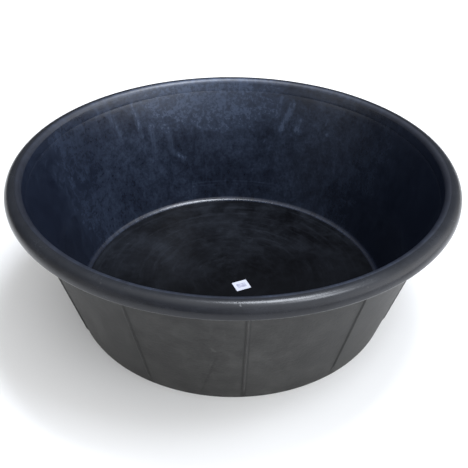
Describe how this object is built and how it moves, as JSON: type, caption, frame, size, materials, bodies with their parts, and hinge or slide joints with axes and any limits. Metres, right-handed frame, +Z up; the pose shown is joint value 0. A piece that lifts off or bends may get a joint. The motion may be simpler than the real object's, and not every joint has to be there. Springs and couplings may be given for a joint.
{
  "type": "mortar mixing tub",
  "caption": "Round black rubber mixing tub with a tapered ribbed wall, a flat floor and a thick rolled rim, for mixing and carrying mortar.",
  "frame": {"origin": "centre of the flat underside, on the ground", "axes": "+Z up along the tub's axis; one of the twelve ribs faces -Y, the side the picture is taken from"},
  "size_m": [0.6499, 0.65, 0.23],
  "materials": {
    "shell_rubber": "moulded black rubber, glossy with a bluish bloom inside, matt and scuffed outside",
    "rim_rubber": "smooth satin black rubber",
    "hoop_steel": "plain drawn steel rod",
    "label_paper": null
  },
  "bodies": {
    "root": {"tub_shell": "shell_rubber", "rim_roll": "rim_rubber", "rim_hoop": "hoop_steel", "floor_label": "label_paper"}
  },
  "joints": []
}
